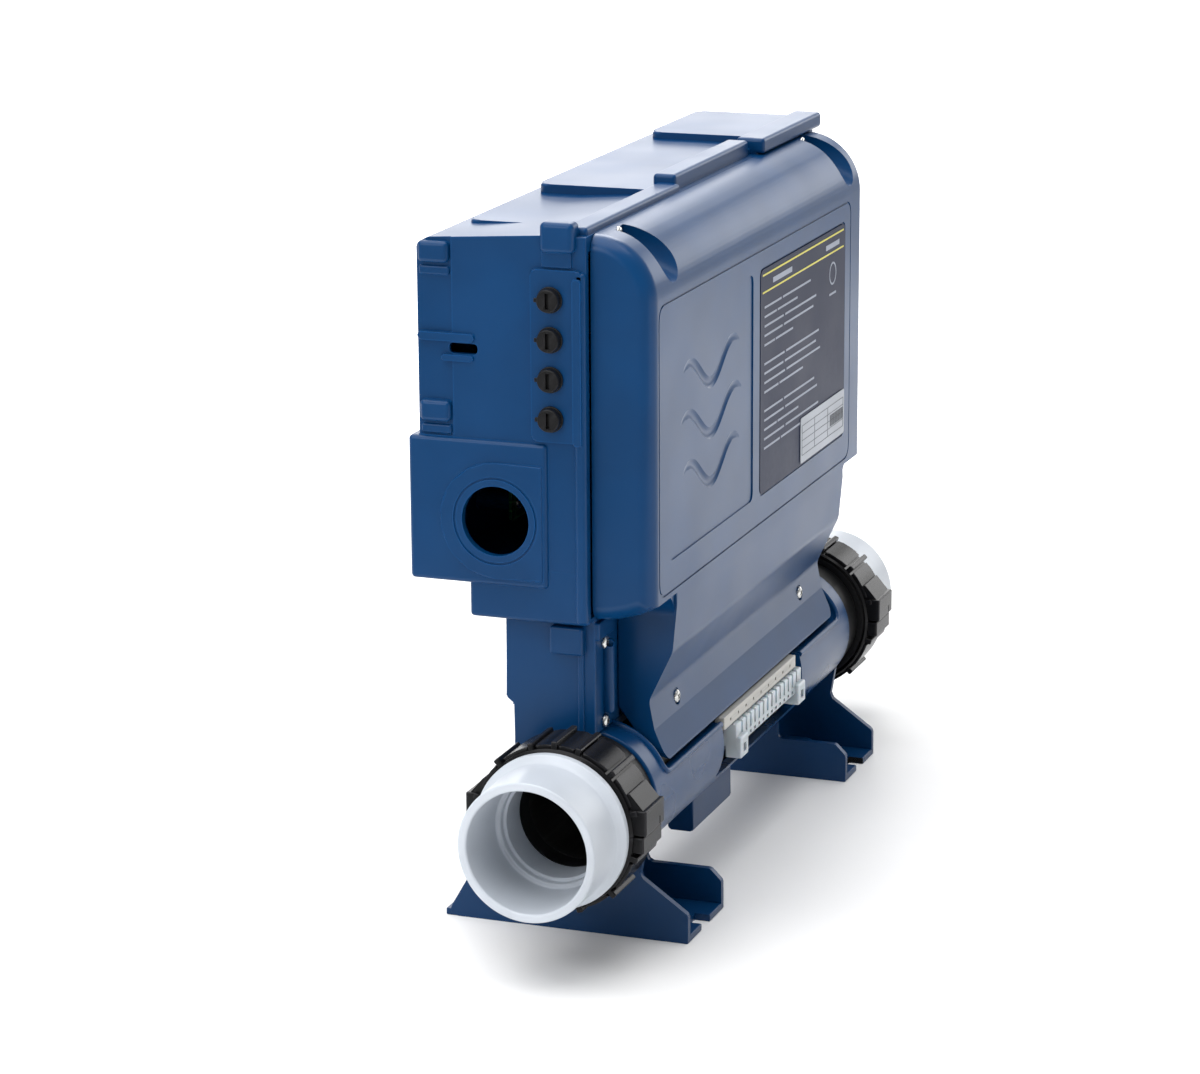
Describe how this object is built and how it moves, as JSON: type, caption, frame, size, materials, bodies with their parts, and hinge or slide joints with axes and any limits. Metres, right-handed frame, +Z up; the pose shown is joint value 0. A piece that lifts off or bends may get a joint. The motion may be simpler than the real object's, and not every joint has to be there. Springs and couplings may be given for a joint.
{
  "type": "spa control pack with inline heater",
  "caption": "Blue moulded control enclosure standing on an inline heater tube with split union nuts, white pipe sockets and two channel feet.",
  "frame": {"origin": "middle of the footprint, on the floor plane under the feet", "axes": "+X along the heater tube away from the end with the fuses, -Y the labelled front, +Z up"},
  "size_m": [0.495, 0.135, 0.3585],
  "materials": {
    "blue_plastic": "semi-gloss moulded navy blue",
    "black_plastic": "glossy moulded black",
    "white_plastic": "glossy white PVC",
    "steel": "drawn stainless steel",
    "seal_rubber": "matte black seal rubber",
    "label_film": "printed film, dark slate blue",
    "sticker_paper": "white film sticker",
    "fuse_ceramic": "ceramic fuse body",
    "element_alloy": "oxidised nickel alloy sheath",
    "brass": "bare brass",
    "strip_tin": "beige strip",
    "connector_nylon": "translucent natural nylon",
    "board_green": "solder-masked board",
    "transformer_core": "varnished steel laminations",
    "relay_case": "dark relay cases",
    "strip_green": "green terminal block"
  },
  "bodies": {
    "root": {"board_screw_1": "steel", "board_screw_2": "steel", "board_screw_3": "steel", "board_screw_4": "steel", "cable_hook": "blue_plastic", "circuit_board": "board_green", "foot_left": "blue_plastic", "foot_right": "blue_plastic", "fuse_1": "fuse_ceramic", "fuse_2": "fuse_ceramic", "fuse_3": "fuse_ceramic", "fuse_4": "fuse_ceramic", "fuse_holder_1": "black_plastic", "fuse_holder_2": "black_plastic", "fuse_holder_3": "black_plastic", "fuse_holder_4": "black_plastic", "heater_end_left": "black_plastic", "heater_end_right": "black_plastic", "heater_jacket": "blue_plastic", "heater_tube": "steel", "heating_element": "element_alloy", "neck_screw_left_high": "steel", "neck_screw_left_low": "steel", "neck_screw_right_high": "steel", "neck_screw_right_low": "steel", "rear_housing": "blue_plastic", "relay_1": "relay_case", "relay_2": "relay_case", "relay_3": "relay_case", "relay_4": "relay_case", "sensor_connector": "connector_nylon", "sensor_strip": "strip_tin", "terminal_nut_left": "brass", "terminal_nut_right": "brass", "terminal_strip": "strip_green", "transformer": "transformer_core"},
    "cover": {"front_cover": "blue_plastic", "cover_gasket": "seal_rubber", "label_plate": "label_film", "data_sticker": "sticker_paper", "top_screw_left": "steel", "top_screw_right": "steel", "skirt_screw_left": "steel", "skirt_screw_right": "steel"},
    "tail_left": {"tailpiece_left": "white_plastic", "o_ring_left": "seal_rubber"},
    "nut_left": {"nut_upper_left": "black_plastic", "nut_lower_left": "black_plastic"},
    "tail_right": {"tailpiece_right": "white_plastic", "o_ring_right": "seal_rubber"},
    "nut_right": {"nut_upper_right": "black_plastic", "nut_lower_right": "black_plastic"},
    "fuse_cap_1_body": {"fuse_cap_1": "black_plastic"},
    "fuse_cap_2_body": {"fuse_cap_2": "black_plastic"},
    "fuse_cap_3_body": {"fuse_cap_3": "black_plastic"},
    "fuse_cap_4_body": {"fuse_cap_4": "black_plastic"}
  },
  "joints": [
    {"name": "cover_slide", "type": "slide", "parent": "root", "child": "cover", "axis": [0, -1, 0], "range_m": [0, 0.15]},
    {"name": "tail_left_slide", "type": "slide", "parent": "root", "child": "tail_left", "axis": [-1, 0, 0], "range_m": [0, 0.0128]},
    {"name": "nut_left_turn", "type": "hinge", "parent": "tail_left", "child": "nut_left", "pos_m": [-0.1956, -0.0175, 0.07], "axis": [-1, 0, 0], "range_deg": [0, 1440]},
    {"name": "tail_right_slide", "type": "slide", "parent": "root", "child": "tail_right", "axis": [1, 0, 0], "range_m": [0, 0.0128]},
    {"name": "nut_right_turn", "type": "hinge", "parent": "tail_right", "child": "nut_right", "pos_m": [0.1956, -0.0175, 0.07], "axis": [1, 0, 0], "range_deg": [0, 1440]},
    {"name": "fuse_cap_1_turn", "type": "hinge", "parent": "root", "child": "fuse_cap_1_body", "pos_m": [-0.1813, -0.0062, 0.3196], "axis": [-1, 0, 0], "range_deg": [0, 90]},
    {"name": "fuse_cap_2_turn", "type": "hinge", "parent": "root", "child": "fuse_cap_2_body", "pos_m": [-0.1813, -0.0062, 0.30053], "axis": [-1, 0, 0], "range_deg": [0, 90]},
    {"name": "fuse_cap_3_turn", "type": "hinge", "parent": "root", "child": "fuse_cap_3_body", "pos_m": [-0.1813, -0.0062, 0.28146], "axis": [-1, 0, 0], "range_deg": [0, 90]},
    {"name": "fuse_cap_4_turn", "type": "hinge", "parent": "root", "child": "fuse_cap_4_body", "pos_m": [-0.1813, -0.0062, 0.26239], "axis": [-1, 0, 0], "range_deg": [0, 90]}
  ],
  "couplings": [
    {"joint": "tail_left_slide", "follows": "nut_left_turn", "m_per_rad": 0.00050532},
    {"joint": "tail_right_slide", "follows": "nut_right_turn", "m_per_rad": 0.00050532}
  ]
}
